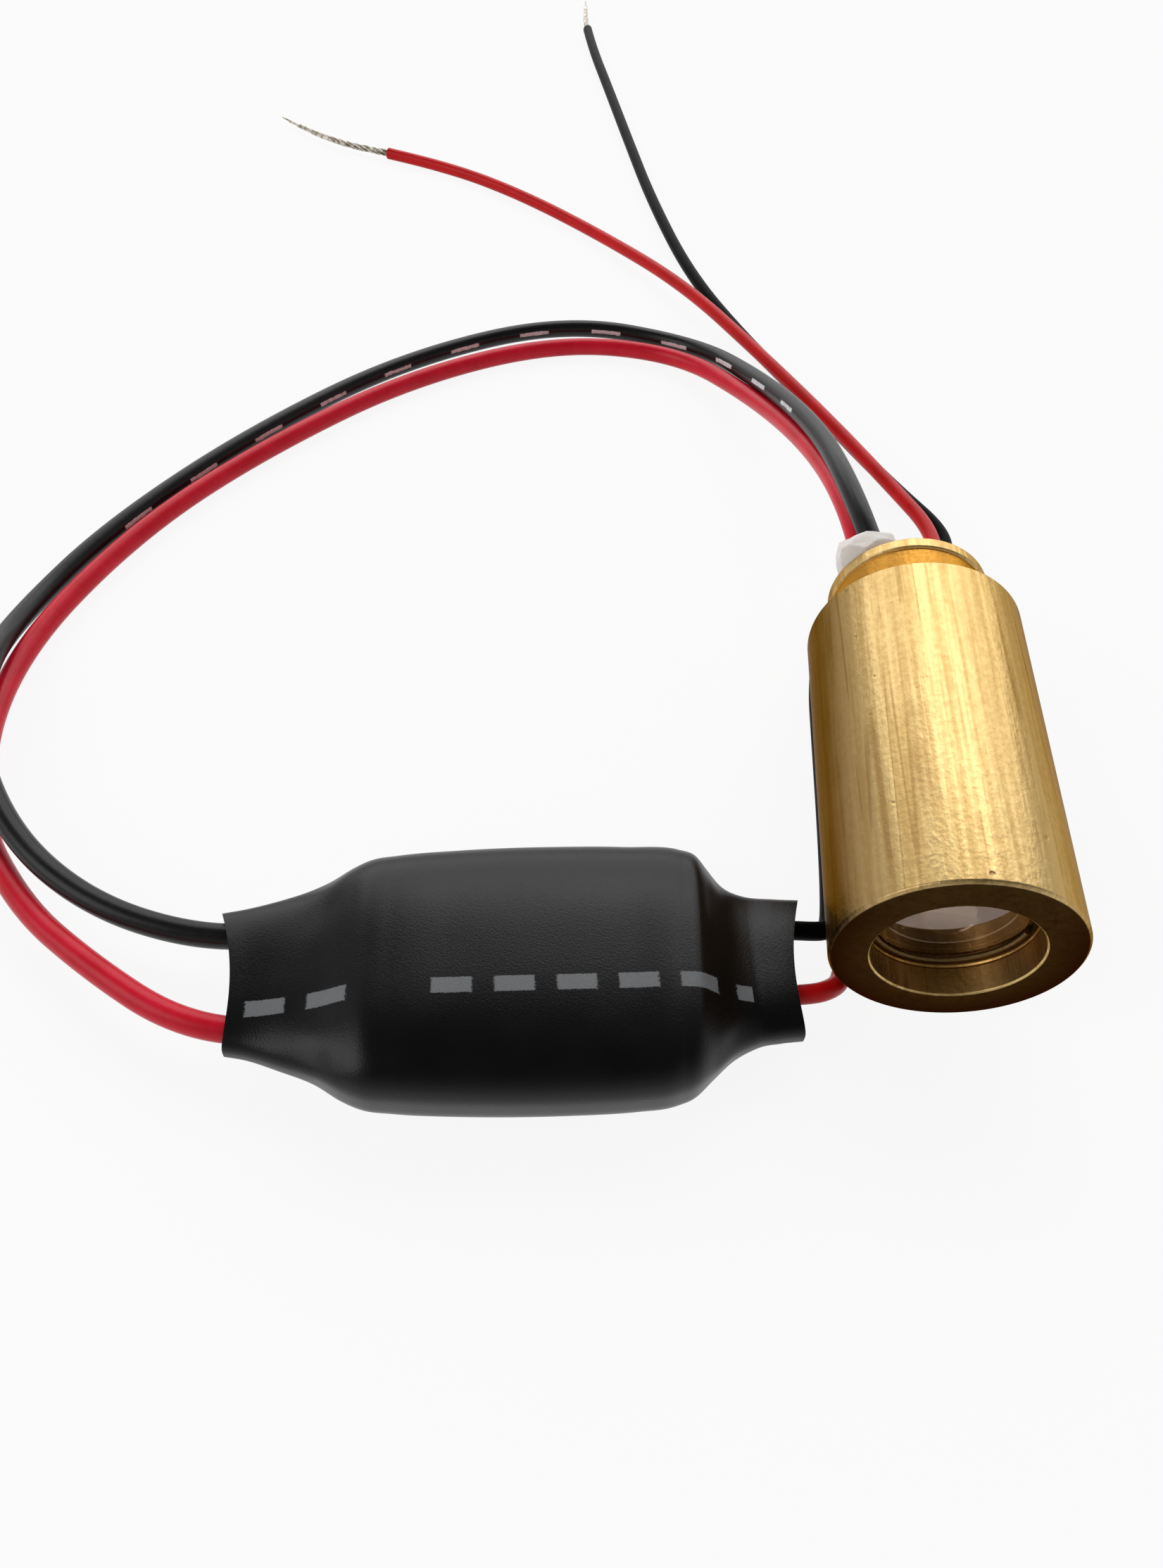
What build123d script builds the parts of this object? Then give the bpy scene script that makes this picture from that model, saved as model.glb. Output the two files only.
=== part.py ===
"""Laser diode module: brass laser head, heat-shrunk driver and four leads.

The module lies on a table at z = 0. The laser head's axis runs along Y and the beam leaves to -Y.
The origin is under the middle of the laser head and the driver together.
"""

import os
from math import asin, cos, radians, sin, tan

from build123d import *

# Laser head: its place, and the barrel
axis_x = 14.6
front_y = -9.4
barrel_radius = 6.0
barrel_length = 21.0
edge_chamfer = 0.15
front_bore_share = 0.67
bore_chamfer = 0.08
throat_share = 0.55
rear_bore_share = 0.71
rear_bore_depth = 12.0
thread_clearance = 0.05

# Lens and the ring that holds it
recess_depth = 1.8
ring_thickness = 0.8
ring_width = 0.6
ring_chamfer = 0.2
spanner_slot_width = 1.0
spanner_slot_depth = 0.4
lens_edge = 1.5
lens_rise = 1.1

# Diode holder: a threaded shank with a neck and a flange behind the barrel
shank_length = 10.0
neck_length = 2.77
flange_step = 0.42
flange_thickness = 0.77
flange_chamfer = 0.12
holder_wall = 0.5
cap_bore_radius = 2.2
stem_seat_depth = 2.2
stem_bore_depth = 2.4

# Laser diode in a 5.6 mm can
stem_radius = 2.8
stem_thickness = 1.2
cap_radius = 1.78
cap_height = 2.1
cap_wall = 0.2
cap_flange_radius = 2.05
cap_hole_radius = 0.8
window_radius = 1.2
window_thickness = 0.25
post_width = 1.6
post_depth = 0.8
post_height = 1.3
chip_size = (0.3, 1.0, 0.12)
pin_radius = 0.225
pin_length = 2.6
pin_circle_radius = 1.0
splice_radius = 0.5
splice_length = 1.3

# Glue at the rear flange
glue_size = (3.5, 2.4, 3.1)
glue_angle = 139.5
glue_inset = 0.08
glue_fillet = 0.7
glue_plug_depth = 1.5

# Driver: its place, and the heat-shrunk sleeve
driver_x = -5.9
driver_y = -10.5
driver_yaw = 7.6
sleeve_wall = 0.4
body_width = 13.3
body_height = 5.0
body_corner = 1.6
neck_width = 7.7
neck_height = 2.2
neck_corner = 1.05
sleeve_left = -14.3
left_shoulder = (-13.8, -6.2)
right_shoulder = (8.2, 11.2)
sleeve_right = 13.9
shoulder_steps = 7
end_hollow = 0.5

# Driver board and what is soldered to it
board_thickness = 1.0
board_lift = 0.2
board_side_gap = 1.55
board_end_gap = 0.1
board_overlap = 0.9
layout_width = 10.2
inductor_size = (5.4, 5.4, 2.5)
inductor_at = (3.4, 1.6)
inductor_fillet = 1.0
chip_body = (4.9, 3.9, 1.5)
chip_at = (-2.6, -1.6)
chip_lead = (0.42, 1.0, 0.25)
chip_lead_pitch = 1.27
chip_leads_per_side = 4
capacitor_size = (1.6, 3.2, 1.6)
capacitor_at = ((-6.1, 0.0), (-0.6, 3.2))
rectifier_size = (4.3, 2.6, 2.1)
rectifier_at = (3.4, -3.2)
resistor_size = (3.2, 1.6, 0.6)
resistor_at = ((-3.4, 2.3), (-3.4, 4.1))
joint_size = (1.3, 1.2, 0.8)
core_radius = 0.4
core_length = 0.35

# Leads: the points where each one's straight runs meet, from the diode or the board outwards.
# The laser pair starts at the pins, passes the flange side by side just inside its bore, and rises from it.
laser_lead_diameter = 1.3
supply_lead_diameter = 1.0
strand_diameter = 0.8
bend_share = 0.45
pair_angle = 143.4
pair_gap = 0.1
pair_bore_gap = 0.18
pair_start_depth = 7.34
pair_exit_depth = 0.34
red_start = (-1.15, 0.2)
black_start = (1.0, 0.15)
red_rise = (-1.25, 5.8, 1.4)
black_rise = (-1.15, 6.0, 1.2)

laser_red_run = [
    (9.35, 29.4, 6.3), (6.35, 40.6, 2.4), (0.75, 48.2, 0.65), (-9.05, 48.3, 0.65), (-19.85, 41.5, 0.65),
    (-28.75, 31.1, 0.65), (-35.15, 20.6, 0.65), (-38.85, 7.4, 0.65), (-36.45, -3.4, 0.8),
    (-31.25, -9.4, 1.3), (-26.05, -12.9, 1.95), (-20.85, -15.1, 2.05), (-16.85, -14.6, 2.1),
    (-12.97, -14.07, 2.05),
]
laser_black_run = [
    (10.85, 29.9, 7.4), (7.55, 40.9, 3.3), (2.35, 49.8, 0.65), (-8.85, 51.6, 0.65), (-20.85, 44.0, 0.65),
    (-30.25, 32.7, 0.65), (-37.15, 21.0, 0.65), (-39.55, 11.9, 0.65), (-38.65, 5.7, 2.6),
    (-36.65, -0.4, 2.6), (-32.75, -5.5, 2.3), (-27.75, -8.8, 2.2), (-22.25, -10.1, 2.1),
    (-17.65, -9.5, 2.05), (-13.69, -8.95, 2.05),
]
supply_red_route = [
    (2.73, -10.86, 2.05), (5.45, -10.5, 2.1), (8.15, -10.15, 1.95), (9.65, -9.2, 0.75),
    (10.0, -7.0, 0.5), (9.9, -2.0, 0.5), (9.85, 5.0, 0.5), (9.95, 12.8, 0.5), (13.35, 19.0, 1.5),
    (18.55, 22.8, 1.75), (18.95, 27.6, 1.7), (16.35, 33.0, 1.7), (12.95, 38.4, 1.7), (7.35, 48.0, 1.7),
    (0.55, 58.0, 1.3), (-6.75, 66.8, 0.5), (-14.75, 73.1, 0.5), (-22.25, 77.3, 0.5),
    (-28.3, 79.1, 0.5),
]
supply_black_route = [
    (2.23, -7.1, 2.05), (4.85, -6.75, 2.1), (7.45, -6.42, 1.95), (8.6, -5.5, 0.8), (8.9, -3.6, 0.5),
    (8.85, 0.3, 0.5), (8.8, 5.8, 0.5), (9.05, 13.6, 0.5), (13.35, 20.6, 0.5), (18.65, 23.2, 0.5),
    (21.25, 27.4, 0.5), (16.15, 35.2, 0.5), (11.15, 43.6, 0.5), (5.35, 53.6, 0.5), (0.95, 62.8, 0.5),
    (-2.45, 74.4, 0.5), (-5.25, 86.4, 0.5), (-8.05, 98.9, 0.5), (-10.35, 109.4, 0.5),
    (-11.3, 114.8, 0.5),
]
strands_red_route = [
    (-28.3, 79.1, 0.5), (-32.65, 80.2, 0.45), (-36.65, 82.4, 0.42), (-40.15, 85.1, 0.42),
]
strands_black_route = [
    (-11.3, 114.8, 0.5), (-11.75, 117.8, 0.45), (-11.95, 121.0, 0.42), (-12.2, 124.0, 0.42),
]

# Radii of the laser head
front_bore_radius = front_bore_share * barrel_radius
throat_radius = throat_share * barrel_radius
rear_bore_radius = rear_bore_share * barrel_radius
ring_hole_radius = front_bore_radius - ring_width
shank_radius = rear_bore_radius - thread_clearance
flange_radius = shank_radius + flange_step
wide_bore_radius = shank_radius - holder_wall
stem_bore_radius = stem_radius + thread_clearance

# Stations along the laser head, measured back from the front face
ring_rear = recess_depth + ring_thickness
lens_seat = ring_rear + lens_edge
shank_front = barrel_length - shank_length
neck_rear = barrel_length + neck_length
flange_rear = neck_rear + flange_thickness
stem_seat = shank_front + stem_seat_depth
stem_rear = stem_seat + stem_thickness
wide_bore_front = stem_seat + stem_bore_depth

# Sizes in the driver
board_width = body_width - 2 * board_side_gap
layout_scale = board_width / layout_width
board_base = sleeve_wall + board_lift
board_top = board_base + board_thickness
lead_height = board_top + joint_size[2] / 2 + thread_clearance

head = Plane((axis_x, front_y, barrel_radius))
head_axis = Axis(head.origin, (0, 1, 0))
driver = Plane(
    origin=(driver_x, driver_y, 0),
    x_dir=(cos(radians(driver_yaw)), sin(radians(driver_yaw)), 0),
    z_dir=(0, 0, 1),
)


def across_head(station):
    """Plane across the laser head, facing the rear, with its y up."""
    origin = head.from_local_coords((0, station, 0))
    return Plane(origin=origin, x_dir=(-1, 0, 0), z_dir=(0, 1, 0))


def turned(profile):
    """Piece turned about the laser head's axis, from (radius, station) points."""
    with BuildPart() as piece:
        with BuildSketch(head):
            with BuildLine():
                Polyline(*profile, close=True)
            make_face()
        revolve(axis=head_axis)
    return piece


def laser_route(side, start, rise, run):
    """Route of one of the laser pair: its pin, its place in the flange's bore, then the run outside."""
    circle = wide_bore_radius - laser_lead_diameter / 2 - pair_bore_gap
    angle = radians(pair_angle) + side * asin((laser_lead_diameter + pair_gap) / (2 * circle))
    pin = (start[0], flange_rear - pair_start_depth, start[1])
    hole = (circle * cos(angle), flange_rear - pair_exit_depth, circle * sin(angle))
    above = tuple(place + step for place, step in zip(hole, rise))
    return [tuple(head.from_local_coords(spot)) for spot in (pin, hole, above)] + run


def bend_radii(route):
    """Radius of each arc of a lead, as large as its two runs allow."""
    runs = [Vector(*end) - Vector(*start) for start, end in zip(route, route[1:])]
    return [
        bend_share * min(before.length, after.length) / tan(radians(before.get_angle(after) / 2))
        for before, after in zip(runs, runs[1:])
    ]


def lead(route, diameter):
    """Plain tube along a lead's route."""
    radii = bend_radii(route)
    with BuildPart() as tube:
        with BuildLine():
            path = FilletPolyline(*route, radius=radii)
        with BuildSketch(Plane(origin=path @ 0, z_dir=path % 0)) as section:
            Circle(diameter / 2)
        sweep()
    swept = section.sketch.area * path.length
    print(
        f"lead {path.length:.1f} mm, tightest bend {min(radii) / diameter:.1f} diameters,"
        f" volume over section times length {tube.part.volume / swept:.4f}"
    )
    return tube


def sleeve_stations():
    """Places along the driver, each with how far it has risen from neck to body."""
    steps = [step / shoulder_steps for step in range(shoulder_steps + 1)]
    rise = [(share, share * share * (3 - 2 * share)) for share in steps]
    start, end = left_shoulder
    left = [(start + share * (end - start), height) for share, height in rise]
    start, end = right_shoulder
    right = [(start + share * (end - start), 1 - height) for share, height in rise]
    return [(sleeve_left, 0), *left, *right, (sleeve_right, 0)]


def sleeve_solid(inset):
    """Solid inside the sleeve's outline, moved in by an inset."""
    with BuildPart() as solid:
        for along, rise in sleeve_stations():
            middle = lead_height + rise * (body_height / 2 - lead_height)
            place = driver.from_local_coords((along, 0, middle))
            with BuildSketch(Plane(origin=place, x_dir=driver.y_dir, z_dir=driver.x_dir)):
                RectangleRounded(
                    neck_width + rise * (body_width - neck_width) - 2 * inset,
                    neck_height + rise * (body_height - neck_height) - 2 * inset,
                    neck_corner + rise * (body_corner - neck_corner) - inset,
                )
        loft(ruled=True)
    return solid


on_face = (Align.CENTER, Align.CENTER, Align.MIN)


def fitted(sizes):
    """Component's size or place, drawn for the layout's width, on the board's real width."""
    return (sizes[0], sizes[1] * layout_scale, *sizes[2:])


def block(size, places):
    """Plain blocks on the driver board."""
    with BuildPart(driver.offset(board_top)) as piece:
        with Locations(*(fitted(place) for place in places)):
            Box(*fitted(size), align=on_face)
    return piece


# Barrel and lens
barrel = turned([
    (front_bore_radius + bore_chamfer, 0),
    (barrel_radius - edge_chamfer, 0),
    (barrel_radius, edge_chamfer),
    (barrel_radius, barrel_length - edge_chamfer),
    (barrel_radius - edge_chamfer, barrel_length),
    (rear_bore_radius, barrel_length),
    (rear_bore_radius, barrel_length - rear_bore_depth),
    (throat_radius, barrel_length - rear_bore_depth),
    (throat_radius, lens_seat),
    (front_bore_radius, lens_seat),
    (front_bore_radius, bore_chamfer),
])

with BuildPart() as lens_retaining_ring:
    with BuildSketch(across_head(recess_depth)):
        Circle(front_bore_radius - thread_clearance)
        Circle(ring_hole_radius, mode=Mode.SUBTRACT)
    extrude(amount=ring_thickness)
    front_edges = lens_retaining_ring.faces().sort_by(Axis.Y)[0].inner_wires()[0].edges()
    chamfer(front_edges, ring_chamfer)
    with BuildSketch(across_head(recess_depth)):
        Rectangle(2 * front_bore_radius, spanner_slot_width)
    extrude(amount=spanner_slot_depth, mode=Mode.SUBTRACT)

lens_bulge_radius = throat_radius - thread_clearance
lens_curve = (lens_bulge_radius**2 + lens_rise**2) / (2 * lens_rise)
lens_half_angle = asin(lens_bulge_radius / lens_curve) / 2
lens_curve_centre = lens_seat + lens_rise - lens_curve
lens_curve_middle = (
    lens_curve * sin(lens_half_angle),
    lens_curve_centre + lens_curve * cos(lens_half_angle),
)
with BuildPart() as collimating_lens:
    with BuildSketch(head):
        with BuildLine():
            Polyline(
                (0, lens_seat + lens_rise),
                (0, ring_rear),
                (front_bore_radius - thread_clearance, ring_rear),
                (front_bore_radius - thread_clearance, lens_seat),
                (lens_bulge_radius, lens_seat),
            )
            ThreePointArc((lens_bulge_radius, lens_seat), lens_curve_middle, (0, lens_seat + lens_rise))
        make_face()
    revolve(axis=head_axis)

# Diode holder
diode_holder = turned([
    (cap_bore_radius, shank_front),
    (shank_radius - edge_chamfer, shank_front),
    (shank_radius, shank_front + edge_chamfer),
    (shank_radius, neck_rear),
    (flange_radius - flange_chamfer, neck_rear),
    (flange_radius, neck_rear + flange_chamfer),
    (flange_radius, flange_rear - flange_chamfer),
    (flange_radius - flange_chamfer, flange_rear),
    (wide_bore_radius, flange_rear),
    (wide_bore_radius, wide_bore_front),
    (stem_bore_radius, wide_bore_front),
    (stem_bore_radius, stem_seat),
    (cap_bore_radius, stem_seat),
])

# Laser diode
with BuildPart() as diode_stem:
    with BuildSketch(across_head(stem_seat)):
        Circle(stem_radius)
    extrude(amount=stem_thickness)
    with BuildSketch(across_head(stem_seat)):
        with Locations((0, -post_depth / 2)):
            Rectangle(post_width, post_depth)
    extrude(amount=-post_height)

with BuildPart() as laser_chip:
    with BuildSketch(head):
        with Locations((0, stem_seat - post_height + chip_size[1] / 2)):
            Rectangle(chip_size[0], chip_size[1])
    extrude(amount=chip_size[2])

cap_top = stem_seat - cap_height
diode_cap = turned([
    (cap_hole_radius, cap_top),
    (cap_radius, cap_top),
    (cap_radius, stem_seat - cap_wall),
    (cap_flange_radius, stem_seat - cap_wall),
    (cap_flange_radius, stem_seat),
    (cap_radius - cap_wall, stem_seat),
    (cap_radius - cap_wall, cap_top + cap_wall),
    (cap_hole_radius, cap_top + cap_wall),
])

with BuildPart() as diode_window:
    with BuildSketch(across_head(cap_top + cap_wall)):
        Circle(window_radius)
    extrude(amount=window_thickness)

with BuildPart() as diode_pins:
    with BuildSketch(across_head(stem_rear)):
        with PolarLocations(pin_circle_radius, 3, start_angle=180, angular_range=180, endpoint=True):
            Circle(pin_radius)
    extrude(amount=pin_length)

with BuildPart() as splice_solder:
    with BuildSketch(across_head(stem_rear + pin_length - splice_length / 2)):
        with Locations((-pin_circle_radius, 0), (pin_circle_radius, 0)):
            Circle(splice_radius)
    extrude(amount=splice_length / 2, both=True)
    add(diode_pins.part, mode=Mode.SUBTRACT)

# Leads, and the glue that holds the pair at the flange
laser_red_route = laser_route(1, red_start, red_rise, laser_red_run)
laser_black_route = laser_route(-1, black_start, black_rise, laser_black_run)
laser_lead_red = lead(laser_red_route, laser_lead_diameter)
laser_lead_black = lead(laser_black_route, laser_lead_diameter)
supply_lead_red = lead(supply_red_route, supply_lead_diameter)
supply_lead_black = lead(supply_black_route, supply_lead_diameter)
supply_strands_red = lead(strands_red_route, strand_diameter)
supply_strands_black = lead(strands_black_route, strand_diameter)

with BuildPart() as glue_bead:
    glue_circle = wide_bore_radius - glue_inset
    glue_x, glue_z = glue_circle * cos(radians(glue_angle)), glue_circle * sin(radians(glue_angle))
    with Locations(head.from_local_coords((glue_x, flange_rear + glue_size[1] / 2, glue_z))):
        Box(*glue_size)
    rear_face = glue_bead.faces().sort_by(Axis.Y)[-1]
    long_edges = glue_bead.edges().filter_by(Axis.Y)
    fillet(rear_face.edges() + long_edges, glue_fillet)
    with BuildSketch(across_head(flange_rear)):
        Circle(wide_bore_radius)
    extrude(amount=-glue_plug_depth)
    add(laser_lead_red.part, mode=Mode.SUBTRACT)
    add(laser_lead_black.part, mode=Mode.SUBTRACT)

# Heat-shrunk sleeve: lofted shell whose open ends are drawn in between the leads
end_radius = ((neck_width / 2) ** 2 + end_hollow**2) / (2 * end_hollow)
with BuildPart() as heat_shrink_sleeve:
    add(sleeve_solid(0).part)
    add(sleeve_solid(sleeve_wall).part, mode=Mode.SUBTRACT)
    with BuildSketch(driver):
        left_centre = sleeve_left + end_hollow - end_radius
        right_centre = sleeve_right - end_hollow + end_radius
        with Locations((left_centre, 0), (right_centre, 0)):
            Circle(end_radius)
    extrude(amount=body_height, mode=Mode.SUBTRACT)

# Driver board and its components
board_left = left_shoulder[1] - board_overlap
board_right = right_shoulder[0] - board_end_gap
with BuildPart(driver.offset(board_base)) as driver_board:
    with Locations(((board_left + board_right) / 2, 0)):
        Box(board_right - board_left, board_width, board_thickness, align=on_face)

with BuildPart(driver.offset(board_top)) as power_inductor:
    with Locations(fitted(inductor_at)):
        Box(*fitted(inductor_size), align=on_face)
    fillet(power_inductor.edges().filter_by(Axis.Z), inductor_fillet)

lead_rows = chip_body[1] + chip_lead[1]
with BuildPart(driver.offset(board_top)) as driver_chip:
    with Locations(fitted(chip_at)):
        Box(*fitted(chip_body), align=on_face)
        with GridLocations(chip_lead_pitch, lead_rows * layout_scale, chip_leads_per_side, 2):
            Box(*fitted(chip_lead), align=on_face)

filter_capacitors = block(capacitor_size, capacitor_at)
rectifier_diode = block(rectifier_size, [rectifier_at])
sense_resistors = block(resistor_size, resistor_at)

# Joints of the four leads on the board, each with its short bare core
lead_ends = [
    (laser_red_route[-1], 1),
    (laser_black_route[-1], 1),
    (supply_red_route[0], -1),
    (supply_black_route[0], -1),
]
with BuildPart() as board_solder:
    for end, inward in lead_ends:
        along, across, _ = driver.to_local_coords(Vector(*end))
        start = along + inward * core_length
        place = driver.from_local_coords((along, across, lead_height))
        with BuildSketch(Plane(origin=place, x_dir=driver.y_dir, z_dir=driver.x_dir * inward)):
            Circle(core_radius)
        extrude(amount=core_length)
        with Locations(driver.location * Location((start + inward * joint_size[0] / 2, across, board_top))):
            Box(*joint_size, align=on_face)

pieces = {
    "barrel": barrel,
    "lens_retaining_ring": lens_retaining_ring,
    "collimating_lens": collimating_lens,
    "diode_holder": diode_holder,
    "diode_stem": diode_stem,
    "laser_chip": laser_chip,
    "diode_cap": diode_cap,
    "diode_window": diode_window,
    "diode_pins": diode_pins,
    "splice_solder": splice_solder,
    "glue_bead": glue_bead,
    "heat_shrink_sleeve": heat_shrink_sleeve,
    "driver_board": driver_board,
    "power_inductor": power_inductor,
    "driver_chip": driver_chip,
    "filter_capacitors": filter_capacitors,
    "rectifier_diode": rectifier_diode,
    "sense_resistors": sense_resistors,
    "board_solder": board_solder,
    "laser_lead_red": laser_lead_red,
    "laser_lead_black": laser_lead_black,
    "supply_lead_red": supply_lead_red,
    "supply_lead_black": supply_lead_black,
    "supply_strands_red": supply_strands_red,
    "supply_strands_black": supply_strands_black,
}
os.makedirs("parts", exist_ok=True)
for name, piece in pieces.items():
    piece.part.label = name
    export_step(piece.part, f"parts/{name}.step")
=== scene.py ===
import math

import bmesh
import bpy
import numpy as np
from mathutils import Euler, Matrix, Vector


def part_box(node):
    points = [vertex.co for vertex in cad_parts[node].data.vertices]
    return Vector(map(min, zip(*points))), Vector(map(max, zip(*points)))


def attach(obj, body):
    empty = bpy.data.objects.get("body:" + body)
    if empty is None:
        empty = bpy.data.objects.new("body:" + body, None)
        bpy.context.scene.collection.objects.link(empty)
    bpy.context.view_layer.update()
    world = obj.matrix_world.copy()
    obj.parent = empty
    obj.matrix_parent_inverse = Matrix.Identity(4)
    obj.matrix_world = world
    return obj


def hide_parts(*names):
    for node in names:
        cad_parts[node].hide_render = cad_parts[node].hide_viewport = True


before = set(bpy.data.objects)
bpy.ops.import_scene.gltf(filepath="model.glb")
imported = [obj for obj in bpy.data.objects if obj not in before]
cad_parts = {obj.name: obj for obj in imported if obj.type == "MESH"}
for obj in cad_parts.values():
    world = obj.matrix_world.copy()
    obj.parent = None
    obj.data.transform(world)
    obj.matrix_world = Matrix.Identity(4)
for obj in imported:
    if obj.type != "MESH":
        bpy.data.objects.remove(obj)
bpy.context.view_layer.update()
mm = 0.001
weldGap, slimEdge = 1e-7, 1e-8  # m: nearer points become one, shorter edges go
print("frame loaded,", len(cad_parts), "solids")


# Joins a grid of points, rows by columns, into quads: each point with its neighbour along the row and in
# the next row. A closed way also joins its last line to its first. Rows shrunk to a point become poles.
def gridMesh(name, grids, sharp=50):
    build = bmesh.new()
    for points, closeRows, closeColumns in grids:
        rows, columns = points.shape[:2]
        first = np.arange(rows if closeRows else rows - 1)[:, None]
        side = np.arange(columns if closeColumns else columns - 1)[None, :]
        nextRow, nextSide = (first + 1) % rows, (side + 1) % columns
        corners = [first * columns + side, first * columns + nextSide,
                   nextRow * columns + nextSide, nextRow * columns + side]
        quads = np.stack([np.broadcast_to(c, (first.size, side.size)) for c in corners], -1).reshape(-1, 4)
        part = bpy.data.meshes.new("part")
        part.from_pydata(points.reshape(-1, 3) * mm, [], quads.tolist())
        build.from_mesh(part)
        bpy.data.meshes.remove(part)
    bmesh.ops.remove_doubles(build, verts=build.verts, dist=weldGap)
    bmesh.ops.dissolve_degenerate(build, edges=build.edges, dist=slimEdge)
    bmesh.ops.recalc_face_normals(build, faces=build.faces)
    mesh = bpy.data.meshes.new(name)
    build.to_mesh(mesh)
    build.free()
    mesh.shade_smooth()
    mesh.set_sharp_from_angle(angle=math.radians(sharp))
    piece = bpy.data.objects.new(name, mesh)
    bpy.context.collection.objects.link(piece)
    return piece


# Softens the corners of a closed outline, each given as radius, station and cut. A corner P, reached from A
# and left towards B, becomes the curve (1-t)^2 A + 2t(1-t) P + t^2 B, with A and B a cut away from it, and
# a holding point on either side, a few cuts away.
def softOutline(corners, steps=5, hold=1.7):
    spots = np.array([c[:2] for c in corners], float)
    cut = np.array([c[2] for c in corners], float)[:, None]
    back = np.roll(spots, 1, axis=0) - spots
    ahead = np.roll(spots, -1, axis=0) - spots
    back /= np.linalg.norm(back, axis=1, keepdims=True)
    ahead /= np.linalg.norm(ahead, axis=1, keepdims=True)
    start, end = spots + cut * back, spots + cut * ahead
    t = np.linspace(0, 1, steps)[None, :, None]
    bend = (1 - t) ** 2 * start[:, None] + 2 * t * (1 - t) * spots[:, None] + t ** 2 * end[:, None]
    holdIn, holdOut = (spots + hold * cut * back)[:, None], (spots + hold * cut * ahead)[:, None]
    return np.concatenate([holdIn, bend, holdOut], axis=1).reshape(-1, 2)


# Turns an outline of (radius, station) points about the head's axis: x = radius cos a, z = radius sin a,
# and the station runs back along y.
def turnedGrid(outline, columns=192):
    a = np.linspace(0, 2 * math.pi, columns, endpoint=False)[None, :]
    radius, station = outline[:, :1], outline[:, 1:]
    return np.stack([head["axisX"] + radius * np.cos(a), head["frontY"] + station + 0 * a,
                     head["axisZ"] + radius * np.sin(a)], -1)


# Smooth step from 0 to 1 between two values: 3t^2 - 2t^3.
def ease(value, low, high):
    t = np.clip((value - low) / (high - low), 0, 1)
    return t * t * (3 - 2 * t)


# Smooth curve through set values: between two knots it is the cubic that meets both values with the
# slopes that their neighbours give.
def through(at, knots, values):
    knots, values = np.array(knots, float), np.array(values, float)
    slope = np.gradient(values, knots)
    i = np.clip(np.searchsorted(knots, at) - 1, 0, len(knots) - 2)
    gap = knots[i + 1] - knots[i]
    t = (at - knots[i]) / gap
    return ((2 * t ** 3 - 3 * t ** 2 + 1) * values[i] + (t ** 3 - 2 * t ** 2 + t) * gap * slope[i]
            + (3 * t ** 2 - 2 * t ** 3) * values[i + 1] + (t ** 3 - t ** 2) * gap * slope[i + 1])


# Gentle unevenness: the mean of a few sines of the three coordinates, with set directions and phases.
def lumps(points, size, seed, count=7):
    draw = np.random.default_rng(seed)
    waves = draw.normal(size=(count, 3)) / size
    phase = draw.uniform(0, 2 * math.pi, count)
    return np.sin(points @ waves.T + phase).mean(-1)


class Wire:
    # a socket that takes part in sums: each operator adds a Math node
    def __init__(self, socket):
        self.socket = socket

    def maths(self, operation, *parts):
        node = self.socket.id_data.nodes.new("ShaderNodeMath")
        node.operation = operation
        for inlet, part in zip(node.inputs, parts):
            plug(inlet, part)
        return Wire(node.outputs[0])

    def __add__(self, other):
        return self.maths("ADD", self, other)

    def __radd__(self, other):
        return self.maths("ADD", other, self)

    def __sub__(self, other):
        return self.maths("SUBTRACT", self, other)

    def __rsub__(self, other):
        return self.maths("SUBTRACT", other, self)

    def __mul__(self, other):
        return self.maths("MULTIPLY", self, other)

    def __rmul__(self, other):
        return self.maths("MULTIPLY", other, self)

    def __truediv__(self, other):
        return self.maths("DIVIDE", self, other)

    def __rtruediv__(self, other):
        return self.maths("DIVIDE", other, self)

    def __abs__(self):
        return self.maths("ABSOLUTE", self)


# Links a wire to a socket, or sets the socket to a plain value.
def plug(inlet, part):
    if isinstance(part, Wire):
        inlet.id_data.links.new(part.socket, inlet)
    elif inlet.type == "RGBA" and len(part) == 3:
        inlet.default_value = (*part, 1)
    else:
        inlet.default_value = part


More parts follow.
